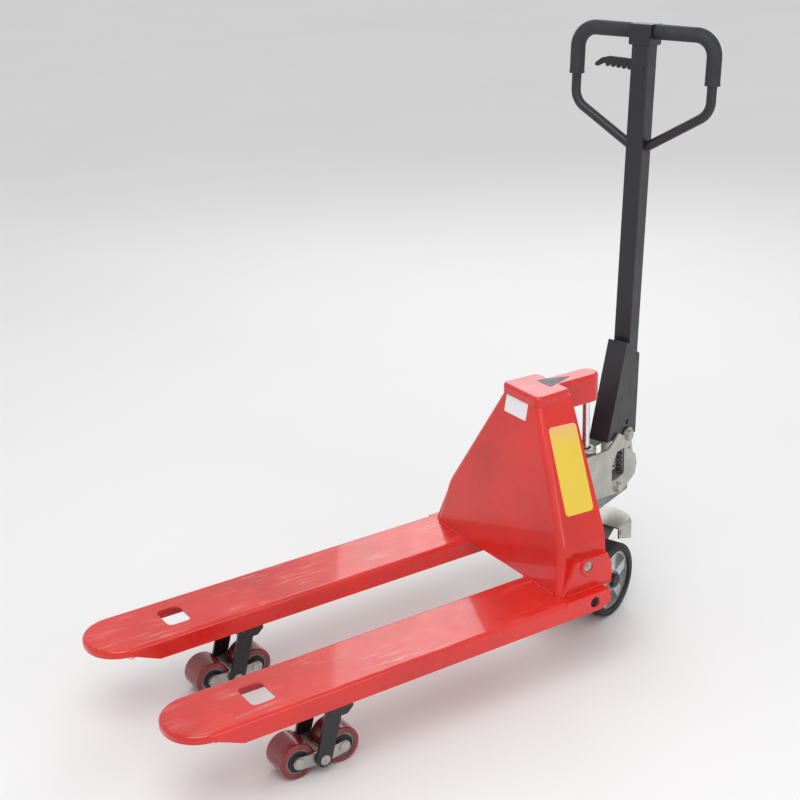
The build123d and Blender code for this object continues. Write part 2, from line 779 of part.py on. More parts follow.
def loop_tube():
    """Bent round tube that makes the crossbar and both sides of the loop."""
    join = (column_width / 2, crossbar_height - loop_join)
    right = loop_points(0, join)
    left = [Vector(-p.X, p.Y, p.Z) for p in reversed(right[1:])]
    path = FilletPolyline(*left, *right[1:], radius=loop_corner)
    ring = Plane(path @ 0, z_dir=path % 0) * (Circle(loop_tube_radius) - Circle(loop_tube_radius - loop_tube_wall))
    body = sweep(ring, path=path)
    half = column_width / 2
    return body - block((-half, half), (-60, 60), (column_bottom, crossbar_height - loop_tube_radius - 20))


def grip():
    """Right rubber grip, along the crossbar and down round the corner."""
    start = collar_half + seat_gap
    points = loop_points(start, (0, 0))[:2] + [Vector(loop_half, crossbar_y, crossbar_height - grip_reach)]
    path = FilletPolyline(*points, radius=loop_corner)
    plane = Plane(path @ 0, z_dir=path % 0)
    outer = sweep(plane * Circle(grip_radius), path=path)
    outer = fillet(outer.edges().group_by(Axis.Z)[0], 3)
    return outer - sweep(plane * Circle(loop_tube_radius + running_fit), path=path)


def collar():
    """Moulded saddle where the crossbar meets the column."""
    y = (column_centre - column_depth / 2 - 4, column_centre + column_depth / 2 + 4)
    z = (crossbar_height - 30, crossbar_height + grip_radius)
    body = block((-collar_half, collar_half), y, z)
    body = fillet(body.edges().filter_by(Axis.X), 6)
    body -= bar_x(loop_tube_radius + running_fit, (-60, 60), crossbar_y, crossbar_height)
    half = column_width / 2 + running_fit
    inner = (column_centre - column_depth / 2 - running_fit, column_centre + column_depth / 2 + running_fit)
    return body - block((-half, half), inner, (z[0] - 1, crossbar_height))


def release_lever():
    """Finger lever that works the pump's release valve, with a ribbed underside."""
    upper = [(lever_pivot_x + 5, 9), (-30, 11), (-85, 13), (-105, 8), (-lever_reach, -3)]
    lower = [(-lever_reach - 3, -9), (-lever_reach + 4, -12), (-100, -4), (-30, -9), (lever_pivot_x, -14)]
    outline = make_face(Polyline(*upper, *lower, close=True))
    outline += [Pos(-90 + 14 * number, -6 - 0.9 * number) * Circle(4.5) for number in range(5)]
    outline -= Pos(lever_pivot_x, -6) * Circle(lever_pin_radius + running_fit)
    start = column_centre + lever_thickness / 2
    return Pos(0, start, lever_height) * extrude(Plane.XZ * outline, lever_thickness)


def place_all():
    """Every node in its place, measured from the fork tips."""
    form = tower_form(0)
    shell = tower_shell(form)
    right_heel = heel(form)
    nodes = {
        "tower_shell": shell,
        "tower_head": tower_head(form, shell),
        "lift_ram": ram(),
        "right_heel": right_heel,
        "left_heel": mirror(right_heel, Plane.YZ),
        "rocker": rocker(),
        "rocker_shaft": rocker_shaft(),
    }
    per_fork = {
        "fork": fork(),
        "nose_roller": nose_roller(),
        "arm_pivot": arm_pivot(),
        "push_rod": push_rod(),
        "load_arm": load_arm(),
        "bogie": bogie(),
        "bogie_pin": bogie_pin(),
        "roller_axles": roller_axles(),
    }
    for name, place in zip(("front", "rear"), axle_places()):
        per_fork[f"{name}_load_tread"] = load_tread(place)
        per_fork[f"{name}_load_core"] = load_core(place)
    for name, shape in per_fork.items():
        nodes[f"right_{name}"] = Pos(fork_x, 0, 0) * shape
        nodes[f"left_{name}"] = Pos(-fork_x, 0, 0) * shape

    king = Pos(0, king_y, 0) * Rot(0, 0, steer_angle)
    steered = {
        "thrust_carriage": Rot(0, 0, -steer_angle) * carriage(),
        "axle_carrier": axle_carrier(),
        "steering_axle": axle(),
        "wheel_guard": wheel_guard(),
        "guard_bracket": guard_bracket(),
        "pump_body": pump_body(),
        "pump_cylinder": pump_cylinder(),
        "ram_gland": gland(),
        "right_pump_plate": pump_plate(),
        "left_pump_plate": mirror(pump_plate(), Plane.YZ),
        "handle_pin": handle_pin(),
        "plate_bolt": plate_bolt(),
        "pump_plunger": plunger(),
        "return_spring": return_spring(),
    }
    for name, shape in {"tyre": tyre(), "hub": hub(), "cap": wheel_cap()}.items():
        steered[f"right_wheel_{name}"] = Pos(wheel_centre_x, 0, 0) * shape
        steered[f"left_wheel_{name}"] = Pos(-wheel_centre_x, 0, 0) * mirror(shape, Plane.YZ)
    nodes |= {name: king * shape for name, shape in steered.items()}

    pin = king * Pos(0, pin_y, pin_z) * Rot(-handle_lean, 0, 0)
    right_grip = grip()
    tilting = {
        "handle_bracket": handle_bracket(),
        "cam_roller": cam_roller(),
        "handle_column": column(),
        "handle_loop": loop_tube(),
        "right_grip": right_grip,
        "left_grip": mirror(right_grip, Plane.YZ),
        "crossbar_collar": collar(),
        "release_lever": release_lever(),
    }
    return nodes | {name: pin * shape for name, shape in tilting.items()}


def centre_shift(nodes):
    """How far the truck moves along Y to put the origin under the middle of its length."""
    boxes = [shape.bounding_box() for shape in nodes.values()]
    return -(min(box.min.Y for box in boxes) + max(box.max.Y for box in boxes)) / 2


placed = place_all()
shift = centre_shift(placed)
os.makedirs("parts", exist_ok=True)
for node, solid in placed.items():
    export_step(Pos(0, shift, 0) * solid, f"parts/{node}.step")
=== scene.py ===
"""Looks of the hand pallet truck: the finish of every part, and the small pieces the frame leaves out.

Lengths are in metres. The chassis stands straight in the room. The pump space turns with the steering and
has its origin on the floor under the king pin. The handle space leans with the handle, from its pin.
"""

import json
import math

import bpy
from mathutils import Matrix, Vector


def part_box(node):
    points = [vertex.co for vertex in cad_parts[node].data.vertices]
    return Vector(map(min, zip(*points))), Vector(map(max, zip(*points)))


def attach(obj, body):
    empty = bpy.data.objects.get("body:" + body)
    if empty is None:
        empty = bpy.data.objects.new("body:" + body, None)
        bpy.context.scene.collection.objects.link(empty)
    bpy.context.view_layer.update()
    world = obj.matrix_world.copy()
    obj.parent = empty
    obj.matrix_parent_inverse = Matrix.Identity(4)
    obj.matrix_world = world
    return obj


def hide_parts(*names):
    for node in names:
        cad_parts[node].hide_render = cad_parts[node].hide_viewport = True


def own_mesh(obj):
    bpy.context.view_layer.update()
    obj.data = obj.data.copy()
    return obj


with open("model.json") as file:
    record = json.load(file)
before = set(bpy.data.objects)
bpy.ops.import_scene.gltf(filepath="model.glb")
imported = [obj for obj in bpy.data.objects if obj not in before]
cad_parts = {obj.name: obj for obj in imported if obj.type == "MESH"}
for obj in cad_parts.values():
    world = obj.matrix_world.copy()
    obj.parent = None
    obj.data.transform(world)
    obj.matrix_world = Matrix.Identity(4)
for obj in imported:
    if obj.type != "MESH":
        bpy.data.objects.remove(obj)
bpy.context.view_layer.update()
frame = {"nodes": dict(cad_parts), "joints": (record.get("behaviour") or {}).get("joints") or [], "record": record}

JOINTS = {joint["name"]: joint for joint in frame["joints"]}
TOWER_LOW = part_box("tower_shell")[0]
FORK_TOP = TOWER_LOW.z
TIP_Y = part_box("right_fork")[0].y
SIDES = {"right": 1, "left": -1}
ACROSS, BACK, UP = Vector((1, 0, 0)), Vector((0, 1, 0)), Vector((0, 0, 1))

# Camera, placed from the floor under the fork tips, with its lens and sensor in millimetres
CAMERA_PLACE = (2.6264, -0.9792, 1.9084)
CAMERA_AZIMUTH = math.radians(57.06)
CAMERA_ELEVATION = math.radians(21.64)
CAMERA_ROLL = math.radians(-1.51)
CAMERA_LENS = 71.19
CAMERA_SENSOR = 36
CAMERA_SHIFT = (-0.02125, -0.0106)

# Room, and each lamp's place, the point it faces, its side and its power in watts
FLOOR_SIZE = 120
ROOM_GLOW = 0.7
LAMPS = {
    "key_lamp": ((1.2, -1.4, 3.4), (0, 0, 0.3), 2.4, 48),
    "side_lamp": ((3.4, 0.6, 1.7), (0, 0.3, 0.4), 1.6, 15),
    "rear_lamp": ((-2.4, 2.2, 2.6), (0, 0.3, 0.5), 2.0, 24),
}

# How finely the small pieces are made, with angles in degrees and shares of a radius, height or thickness
SHARP_ANGLE, ROUND_ANGLE = 35, 60
RING_SEGMENTS, RING_SECTION = 72, 14
BOLT_STEPS = ((0.22, 0.18), (0.3, 0.08))
BOLT_EDGE, BOLT_EDGE_SEGMENTS = 0.06, 3
TOP_FACING = 0.9
BEAD_SECTION = 3
RIPPLE_PITCH, RIPPLE_WAIST = 0.9, 0.82
CORNER_SEGMENTS = 6
MERGE_DISTANCE = 1e-6

# Blank panels: the side one's corners go back from the fork tips and up from the tower's knee,
# and the head one's go across and back from the fork tips
FILM_THICKNESS = 0.0005
TOWER_LEAN = math.radians(11.2)
FRONT_PANEL_X, FRONT_PANEL_Z = -0.008, 0.5637
FRONT_PANEL_HALF_WIDTH, FRONT_PANEL_HALF_HEIGHT = 0.0395, 0.022
SIDE_SLOPE = math.radians(29.68)
KNEE_X, KNEE_Z = 0.217, 0.318
SIDE_PANEL_CORNERS = [(0.981, 0.058), (1.057, 0.055), (1.081, 0.252), (1.006, 0.256)]
HEAD_PANEL_CORNERS = [(-0.026, 1.062), (0.026, 1.062), (0.0, 1.140)]
FRONT_PANEL_ROUNDING, SIDE_PANEL_ROUNDING, HEAD_PANEL_ROUNDING = 0.002, 0.009, 0.006

# Weld beads, nipples and seals of the chassis and the load rollers
FOOT_BEAD, CHEEK_BEAD, FINE_BEAD = 0.0028, 0.0025, 0.0018
BEAD_RISE = 0.001
FOOT_WELD_ENDS = (0.113, 0.222)
CHEEK_FACE = 0.2465
CHEEK_WELD_ENDS = (0.016, 0.140)
BOSS_WELD_RADIUS = 0.0195
BOSS_WELD_POINTS = 40
NIPPLE_RADIUS, NIPPLE_HEIGHT = 0.0045, 0.004
LOAD_SEAL_RADIUS, LOAD_SEAL_THICK, LOAD_SEAL_FLAT = 0.0185, 0.0036, 0.4
LOAD_SEAL_SINK = 0.001

# Steering wheels and pump, in the pump space
WHEEL_RADIUS = 0.09
TYRE_FACES = {"outer": 0.086, "inner": 0.036}
RIB_RADIUS, RIB_THICK, RIB_FLAT = 0.0795, 0.0014, 0.5
HUB_FACE = 0.082
HUB_SEAL_RADIUS, HUB_SEAL_THICK, HUB_SEAL_FLAT = 0.0205, 0.0018, 0.6
GLAND_TOP = 0.416
WIPER_RADIUS, WIPER_THICK, WIPER_FLAT = 0.0112, 0.0021, 0.6
PLUG_PLACE = (0, 0.062, 0.299)
PLUG_RADIUS, PLUG_HEIGHT = 0.0085, 0.007
GUARD_WELD_X, GUARD_WELD_Z = 0.0262, 0.1955
GUARD_WELD_ENDS = (0.056, 0.112)

# Handle, in its own space
GRIP_HALF = 0.171
CROSSBAR_Y = 0.017
LIP_Z = 0.843
LIP_RADIUS, LIP_THICK, LIP_FLAT = 0.0158, 0.0022, 1.3
PIN_HEAD_PLACE = (0.009, -0.0075, 0.867)
PIN_HEAD_RADIUS, PIN_HEAD_HEIGHT, PIN_HEAD_SIDES = 0.0042, 0.003, 24


# ---------------------------------------------------------------- spaces

def space(x_axis, y_axis, origin):
    """Matrix that takes a space with these axes and origin into the room."""
    z_axis = x_axis.cross(y_axis)
    turned = Matrix((x_axis, y_axis, z_axis)).transposed().to_4x4()
    return Matrix.Translation(origin) @ turned


def standing(home, centre, axis):
    """Matrix that takes a piece made along Z to a centre in its home space, along an axis."""
    turn = UP.rotation_difference(Vector(axis)).to_matrix().to_4x4()
    return home @ Matrix.Translation(centre) @ turn


CROSSWAYS = Vector(JOINTS["right_wheel_spin"]["axis"]).normalized()
KING = Vector(JOINTS["steer"]["pos_m"])
ROOM = Matrix.Identity(4)
PUMP_SPACE = space(CROSSWAYS, UP.cross(CROSSWAYS), (KING.x, KING.y, 0))
HANDLE_SPACE = space(
    CROSSWAYS,
    Vector(JOINTS["lever_squeeze"]["axis"]).normalized(),
    Vector(JOINTS["handle_tilt"]["pos_m"]),
)


# ---------------------------------------------------------------- nodes of a finish

def shader_of(material):
    """The material's principled shader."""
    return material.node_tree.nodes["Principled BSDF"]


def new_finish(name, **sockets):
    """Material with a principled shader whose even values are set."""
    material = bpy.data.materials.new(name)
    material.use_nodes = True
    for socket, value in sockets.items():
        title = socket.replace("_", " ").title().replace("Ior", "IOR")
        shader_of(material).inputs[title].default_value = value
    return material


def node(material, kind, inputs, **settings):
    """Node of a kind, with its settings, and its inputs set or linked."""
    made = material.node_tree.nodes.new(kind)
    for name, value in settings.items():
        setattr(made, name, value)
    for socket, value in inputs.items():
        if isinstance(value, bpy.types.NodeSocket):
            material.node_tree.links.new(value, made.inputs[socket])
        else:
            made.inputs[socket].default_value = value
    return made


def place(material):
    """The surface's place, in the piece's own coordinates."""
    return node(material, "ShaderNodeTexCoord", {}).outputs["Object"]


def noise(material, scale, detail=4, stretch=(1, 1, 1)):
    """Noise of a scale, drawn out along the axes whose stretch is small."""
    spread = node(material, "ShaderNodeMapping", {"Vector": place(material), "Scale": stretch})
    inputs = {"Vector": spread.outputs[0], "Scale": scale, "Detail": detail, "Roughness": 0.55}
    return node(material, "ShaderNodeTexNoise", inputs).outputs["Fac"]


def brought(material, value, span, to=(0, 1)):
    """Value within one span brought to another span, and held at its ends."""
    inputs = {0: value, 1: span[0], 2: span[1], 3: to[0], 4: to[1]}
    return node(material, "ShaderNodeMapRange", inputs, clamp=True).outputs[0]


def clouds(material, scale, span, to=(0, 1), detail=4, stretch=(1, 1, 1)):
    """Noise whose values within one span are brought to another span."""
    return brought(material, noise(material, scale, detail, stretch), span, to)


def product(material, first, *others):
    """Product of several values."""
    for other in others:
        first = node(material, "ShaderNodeMath", {0: first, 1: other}, operation="MULTIPLY").outputs[0]
    return first


def rgba(colour):
    """Colour with full cover, or the socket that gives it."""
    return colour if isinstance(colour, bpy.types.NodeSocket) else (*colour, 1)


def blend_colours(material, share, first, second):
    """Colour that goes from the first to the second with the share."""
    inputs = {0: share, 6: rgba(first), 7: rgba(second)}
    return node(material, "ShaderNodeMix", inputs, data_type="RGBA").outputs[2]


def upward(material):
    """How far the surface faces up."""
    normal = node(material, "ShaderNodeNewGeometry", {}).outputs["Normal"]
    parts = node(material, "ShaderNodeSeparateXYZ", {0: normal})
    return brought(material, parts.outputs["Z"], span=(0.75, 0.97))


def drive(material, colour, roughness, height=None, strength=0.1, depth=0.0005):
    """Links the colour, the roughness and any bump to the shader."""
    links = material.node_tree.links
    shader = shader_of(material)
    links.new(colour, shader.inputs["Base Color"])
    links.new(roughness, shader.inputs["Roughness"])
    if height is not None:
        inputs = {"Height": height, "Strength": strength, "Distance": depth}
        links.new(node(material, "ShaderNodeBump", inputs).outputs[0], shader.inputs["Normal"])
    return material


# ---------------------------------------------------------------- kinds of finish

def gloss_paint(name, bright, deep, rubbed_and_sheen, wear_and_sheen):
    """Glossy powder coat with faint orange peel, paler on its upward faces with rubbed wear and a painted sheen of
    light.
    """
    material = new_finish(name, coat_weight=0.6, coat_roughness=0.06, specular_ior_level=0.4)
    body = blend_colours(material, clouds(material, scale=5, span=(0.35, 0.7)), bright, deep)
    streaks = clouds(material, scale=9, span=(0.5, 0.78), detail=6, stretch=(9, 1.2, 9))
    patches = clouds(material, scale=7, span=(0.4, 0.62), detail=3)
    # Upward faces streaked paler: partly rubbed wear, partly a painted sheen of light on the tops
    worn_and_sheen = product(material, streaks, patches, upward(material), wear_and_sheen)
    body = blend_colours(material, worn_and_sheen, body, rubbed_and_sheen)
    marks = clouds(material, scale=60, span=(0.74, 0.82), to=(0, 0.1), detail=8, stretch=(1, 8, 1))
    body = blend_colours(material, marks, body, rubbed_and_sheen)
    roughness = clouds(material, scale=22, span=(0.3, 0.75), to=(0.24, 0.42))
    return drive(material, body, roughness, noise(material, scale=420, detail=2), strength=0.12, depth=0.0003)


def satin_paint(name, colour, edge):
    """Satin powder coat with a fine texture and faint scuffs."""
    material = new_finish(name, coat_weight=0.12, coat_roughness=0.3)
    body = blend_colours(material, clouds(material, scale=8, span=(0.3, 0.7)), colour, edge)
    scuffs = clouds(material, scale=45, span=(0.66, 0.8), to=(0, 0.3), detail=8, stretch=(1, 1, 0.15))
    body = blend_colours(material, scuffs, body, tuple(4 * value for value in edge))
    roughness = clouds(material, scale=30, span=(0.3, 0.7), to=(0.34, 0.5))
    return drive(material, body, roughness, noise(material, scale=900, detail=3), strength=0.18, depth=0.0003)


def bare_metal(name, light, dark, polish, grain, stretch=(1, 1, 1)):
    """Plated or machined metal, cloudy, with a grain that may run one way."""
    material = new_finish(name, metallic=0.92)
    body = blend_colours(material, clouds(material, scale=14, span=(0.3, 0.72), detail=5), light, dark)
    specks = clouds(material, scale=160, span=(0.62, 0.8), to=(0, 0.35))
    body = blend_colours(material, specks, body, tuple(0.45 * value for value in dark))
    grained = noise(material, grain, stretch=stretch)
    roughness = brought(material, grained, span=(0.25, 0.75), to=(polish, polish + 0.16))
    return drive(material, body, roughness, grained, strength=0.15, depth=0.0002)


def cast_metal(name, light, dark, metallic, polish):
    """Cast surface with a coarse skin and cloudy darker patches."""
    material = new_finish(name, metallic=metallic)
    body = blend_colours(material, clouds(material, scale=20, span=(0.35, 0.7), detail=6), light, dark)
    roughness = clouds(material, scale=60, span=(0.3, 0.7), to=(polish, polish + 0.2))
    return drive(material, body, roughness, noise(material, scale=320, detail=5), strength=0.3, depth=0.0006)


def rubber(name, colour, dust, polish, dust_share):
    """Moulded rubber or plastic with a fine grain and a film of dust."""
    material = new_finish(name, specular_ior_level=0.4)
    film = clouds(material, scale=11, span=(0.42, 0.75), to=(0, dust_share), detail=6)
    body = blend_colours(material, film, colour, dust)
    roughness = clouds(material, scale=40, span=(0.3, 0.7), to=(polish, polish + 0.15))
    return drive(material, body, roughness, noise(material, scale=700, detail=3), strength=0.2, depth=0.0004)


def cast_polyurethane(name, colour, deep, nicked):
    """Cast polyurethane, glossy, with clouds and small nicks."""
    material = new_finish(name, coat_weight=0.5, coat_roughness=0.08, subsurface_weight=0.04)
    body = blend_colours(material, clouds(material, scale=18, span=(0.3, 0.75), detail=5), colour, deep)
    nicks = clouds(material, scale=130, span=(0.66, 0.76), to=(0, 0.5), detail=6)
    body = blend_colours(material, nicks, body, nicked)
    roughness = clouds(material, scale=50, span=(0.3, 0.7), to=(0.2, 0.4))
    return drive(material, body, roughness, noise(material, scale=240), strength=0.14, depth=0.0004)


def faded_film(name, colour, faded, heights):
    """Blank plastic film, scratched, and faded more and more between two heights."""
    material = new_finish(name, coat_weight=0.2)
    height = node(material, "ShaderNodeSeparateXYZ", {0: place(material)}).outputs["Z"]
    uneven = product(material, clouds(material, scale=40, span=(0.2, 0.8), to=(0.94, 1.06), detail=6), height)
    body = blend_colours(material, brought(material, uneven, heights, to=(0, 0.55)), colour, faded)
    scratches = clouds(material, scale=120, span=(0.66, 0.76), to=(0, 0.4), detail=8, stretch=(1, 1, 0.2))
    body = blend_colours(material, scratches, body, faded)
    roughness = clouds(material, scale=60, span=(0.3, 0.7), to=(0.35, 0.55))
    return drive(material, body, roughness, noise(material, scale=500, detail=3), strength=0.08, depth=0.0002)


# ---------------------------------------------------------------- the truck's finishes

RED, DEEP_RED = (0.72, 0.016, 0.009), (0.54, 0.010, 0.006)
# Pale reds for chips, rubbed wear and a painted sheen of light on upward faces
PALE_WORN_AND_SHEEN_RED, CHALK_WORN_AND_SHEEN_RED = (0.80, 0.20, 0.15), (0.86, 0.40, 0.34)
WINE, DARK_WINE, PALE_WINE = (0.29, 0.016, 0.022), (0.13, 0.009, 0.014), (0.3, 0.14, 0.12)
FINISH = {
    "red_paint": gloss_paint("red_paint", RED, DEEP_RED, PALE_WORN_AND_SHEEN_RED, wear_and_sheen=0.15),
    "fork_paint": gloss_paint("fork_paint", RED, DEEP_RED, CHALK_WORN_AND_SHEEN_RED, wear_and_sheen=0.6),
    "black_paint": satin_paint("black_paint", (0.010, 0.010, 0.013), (0.016, 0.015, 0.019)),
    "zinc_plate": bare_metal("zinc_plate", (0.56, 0.56, 0.51), (0.38, 0.38, 0.35), polish=0.34, grain=90),
    "cast_grey": cast_metal("cast_grey", (0.30, 0.30, 0.29), (0.16, 0.16, 0.155), metallic=0.35, polish=0.45),
    "chrome": bare_metal(
        "chrome", (0.84, 0.84, 0.86), (0.74, 0.74, 0.76), polish=0.06, grain=260, stretch=(1, 1, 0.1)
    ),
    "spring_steel": bare_metal(
        "spring_steel", (0.42, 0.42, 0.42), (0.25, 0.25, 0.25), polish=0.26, grain=300
    ),
    "red_polyurethane": cast_polyurethane("red_polyurethane", WINE, DARK_WINE, PALE_WINE),
    "core_grey": cast_metal("core_grey", (0.27, 0.28, 0.29), (0.13, 0.135, 0.14), metallic=0.75, polish=0.34),
    "hub_aluminium": cast_metal(
        "hub_aluminium", (0.62, 0.63, 0.65), (0.42, 0.43, 0.45), metallic=0.8, polish=0.32
    ),
    "tyre_rubber": rubber(
        "tyre_rubber", (0.017, 0.017, 0.020), (0.10, 0.095, 0.09), polish=0.55, dust_share=0.4
    ),
    "grip_rubber": rubber(
        "grip_rubber", (0.024, 0.025, 0.030), (0.06, 0.06, 0.065), polish=0.5, dust_share=0.35
    ),
    "white_nylon": rubber("white_nylon", (0.78, 0.77, 0.72), (0.45, 0.43, 0.38), polish=0.36, dust_share=0.5),
    "black_plastic": rubber(
        "black_plastic", (0.018, 0.018, 0.020), (0.05, 0.05, 0.05), polish=0.42, dust_share=0.3
    ),
    "blank_white_film": faded_film("blank_white_film", (0.84, 0.85, 0.88), (0.68, 0.69, 0.72), (0.55, 0.62)),
    "blank_yellow_film": faded_film(
        "blank_yellow_film", (0.78, 0.55, 0.05), (0.80, 0.40, 0.28), (0.50, 0.54)
    ),
    "blank_dark_film": faded_film("blank_dark_film", (0.05, 0.045, 0.05), (0.3, 0.2, 0.2), (0.9, 0.98)),
}
FORK_NODES = ("right_fork", "left_fork")


def coat(piece, finish):
    """Gives every face of a piece one finish."""
    piece.data.materials.clear()
    piece.data.materials.append(FINISH[finish])


def coat_frame():
    """Gives each CAD node its slot's finish, and the forks one that is paler on top, with rubbed wear and a
    stronger painted sheen.
    """
    for sub in frame["record"]["subparts"]:
        name = sub["node"]
        coat(frame["nodes"][name], "fork_paint" if name in FORK_NODES else sub["material_slot"])


# ---------------------------------------------------------------- making pieces

def deselect():
    """Leaves nothing selected, before a new piece is started."""
    bpy.ops.object.select_all(action="DESELECT")


def put_in_room(name, data):
    """New object in the scene that holds this data."""
    made = bpy.data.objects.new(name, data)
    bpy.context.scene.collection.objects.link(made)
    return made


def start_piece(name, data):
    """New object that is active, with nothing else selected."""
    deselect()
    piece = put_in_room(name, data)
    bpy.context.view_layer.objects.active = piece
    piece.select_set(True)
    return piece


def modify(kind, **settings):
    """Applies a modifier with these settings to the active piece."""
    modifier = bpy.context.object.modifiers.new(kind.title(), kind)
    for name, value in settings.items():
        setattr(modifier, name, value)
    bpy.ops.object.modifier_apply(modifier=modifier.name)


def settle(name, home, body, slot, finish=None, angle=SHARP_ANGLE):
    """Names the active object, puts its place in its mesh, and lets it ride on a body."""
    piece = bpy.context.object
    piece.name = piece.data.name = name
    bpy.ops.object.transform_apply(location=True, rotation=True, scale=True)
    piece.data.transform(home)
    bpy.ops.object.shade_smooth_by_angle(angle=math.radians(angle))
    coat(piece, finish or slot)
    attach(piece, body)
    piece.select_set(False)


def ring(name, home, centre, axis, radius, thick, flat, body, slot):
    """Moulded ring round an axis, flattened along it."""
    deselect()
    bpy.ops.mesh.primitive_torus_add(
        major_segments=RING_SEGMENTS, minor_segments=RING_SECTION, major_radius=radius, minor_radius=thick
    )
    bpy.context.object.scale.z = flat
    settle(name, standing(home, centre, axis), body, slot, angle=ROUND_ANGLE)


def bolt_head(name, home, centre, axis, radius, height, body, slot, sides=6):
    """Bolt head with rounded edges and a raised face in two steps."""
    deselect()
    bpy.ops.mesh.primitive_cylinder_add(vertices=sides, radius=radius, depth=height)
    bpy.ops.object.mode_set(mode="EDIT")
    bpy.ops.mesh.select_all(action="DESELECT")
    bpy.ops.object.mode_set(mode="OBJECT")
    for face in bpy.context.object.data.polygons:
        face.select = face.normal.z > TOP_FACING
    bpy.ops.object.mode_set(mode="EDIT")
    bpy.ops.mesh.select_mode(type="FACE")
    for inset, rise in BOLT_STEPS:
        bpy.ops.mesh.inset(thickness=radius * inset)
        bpy.ops.transform.translate(value=(0, 0, height * rise))
    bpy.ops.object.mode_set(mode="OBJECT")
    modify("BEVEL", width=radius * BOLT_EDGE, segments=BOLT_EDGE_SEGMENTS, limit_method="ANGLE")
    settle(name, standing(home, centre, axis), body, slot)


def weld_bead(name, home, points, thick, body, slot, closed=False):
    """Rippled weld bead along straight runs between points."""
    path = []
    for start, end in zip(points, points[1:] + points[:1] if closed else points[1:]):
        start, end = Vector(start), Vector(end)
        steps = max(1, round((end - start).length / (thick * RIPPLE_PITCH)))
        path += [start.lerp(end, step / steps) for step in range(steps)]
    if not closed:
        path.append(Vector(points[-1]))

    curve = bpy.data.curves.new(name, "CURVE")
    curve.dimensions, curve.bevel_depth, curve.bevel_resolution = "3D", thick, BEAD_SECTION
    curve.use_fill_caps = True
    spline = curve.splines.new("POLY")
    spline.points.add(len(path) - 1)
    for number, (knot, spot) in enumerate(zip(spline.points, path)):
        knot.co = (*spot, 1)
        knot.radius = 1 if number % 2 else RIPPLE_WAIST
    spline.use_cyclic_u = closed
    start_piece(name, curve)
    bpy.ops.object.convert(target="MESH")
    settle(name, home, body, slot, angle=ROUND_ANGLE)


def circle_points(centre, radius, count):
    """Points round a circle in the plane across X."""
    turns = [2 * math.pi * number / count for number in range(count)]
    x, y, z = centre
    return [(x, y + radius * math.cos(turn), z + radius * math.sin(turn)) for turn in turns]


def film_panel(name, home, corners, rounding, slot, finish):
    """Thin panel on the chassis with rounded corners, from its corners in the plane of its home."""
    deselect()
    bpy.ops.mesh.primitive_circle_add(vertices=len(corners), fill_type="NGON")
    mesh = bpy.context.object.data
    for vertex, corner in zip(mesh.vertices, corners):
        vertex.co = (*corner, 0)
    bpy.ops.object.mode_set(mode="EDIT")
    bpy.ops.mesh.select_all(action="SELECT")
    bpy.ops.mesh.bevel(offset=rounding, segments=CORNER_SEGMENTS, affect="VERTICES")
    bpy.ops.object.mode_set(mode="OBJECT")
    if mesh.polygons[0].normal.z < 0:
        mesh.flip_normals()
    modify("SOLIDIFY", thickness=FILM_THICKNESS, offset=1)
    settle(name, home, "chassis", slot, finish)


# ---------------------------------------------------------------- chassis and load rollers

def tower_panels():
    """The three blank panels: white on the front, yellow on the right side and dark on the head."""
    up_front = Vector((0, math.sin(TOWER_LEAN), math.cos(TOWER_LEAN)))
    front_y = TOWER_LOW.y + (FRONT_PANEL_Z - FORK_TOP) * math.tan(TOWER_LEAN)
    home = space(ACROSS, up_front, (FRONT_PANEL_X, front_y, FRONT_PANEL_Z))
    around = ((-1, -1), (1, -1), (1, 1), (-1, 1))
    corners = [(x * FRONT_PANEL_HALF_WIDTH, y * FRONT_PANEL_HALF_HEIGHT) for x, y in around]
    film_panel("front_blank_panel", home, corners, FRONT_PANEL_ROUNDING, "white_nylon", "blank_white_film")

    up_side = Vector((-math.sin(SIDE_SLOPE), 0, math.cos(SIDE_SLOPE)))
    home = space(BACK, up_side, (KNEE_X, TIP_Y, KNEE_Z))
    corners = SIDE_PANEL_CORNERS
    film_panel("side_blank_panel", home, corners, SIDE_PANEL_ROUNDING, "white_nylon", "blank_yellow_film")

    home = Matrix.Translation((0, TIP_Y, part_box("tower_head")[1].z))
    corners = HEAD_PANEL_CORNERS
    film_panel("head_blank_panel", home, corners, HEAD_PANEL_ROUNDING, "black_plastic", "blank_dark_film")


def chassis_welds():
    """Beads at the feet of the tower and its cheeks and round the bosses, and the shaft's nipples."""
    shaft_low, shaft_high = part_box("rocker_shaft")
    shaft_y, shaft_z = (shaft_low.y + shaft_high.y) / 2, (shaft_low.z + shaft_high.z) / 2
    foot, seam = TOWER_LOW.y, FORK_TOP + BEAD_RISE
    for side, way in SIDES.items():
        across = [(way * reach, foot - BEAD_RISE, seam) for reach in FOOT_WELD_ENDS]
        weld_bead(f"{side}_foot_weld", ROOM, across, FOOT_BEAD, "chassis", "red_paint")
        along = [(way * CHEEK_FACE, foot + reach, seam) for reach in CHEEK_WELD_ENDS]
        weld_bead(f"{side}_cheek_weld", ROOM, along, CHEEK_BEAD, "chassis", "red_paint")
        boss = circle_points((way * CHEEK_FACE, shaft_y, shaft_z), BOSS_WELD_RADIUS, BOSS_WELD_POINTS)
        weld_bead(f"{side}_boss_weld", ROOM, boss, FINE_BEAD, "chassis", "red_paint", closed=True)
        end, axis = (way * shaft_high.x, shaft_y, shaft_z), (way, 0, 0)
        name = f"{side}_shaft_nipple"
        bolt_head(name, ROOM, end, axis, NIPPLE_RADIUS, NIPPLE_HEIGHT, "rocker", "zinc_plate")


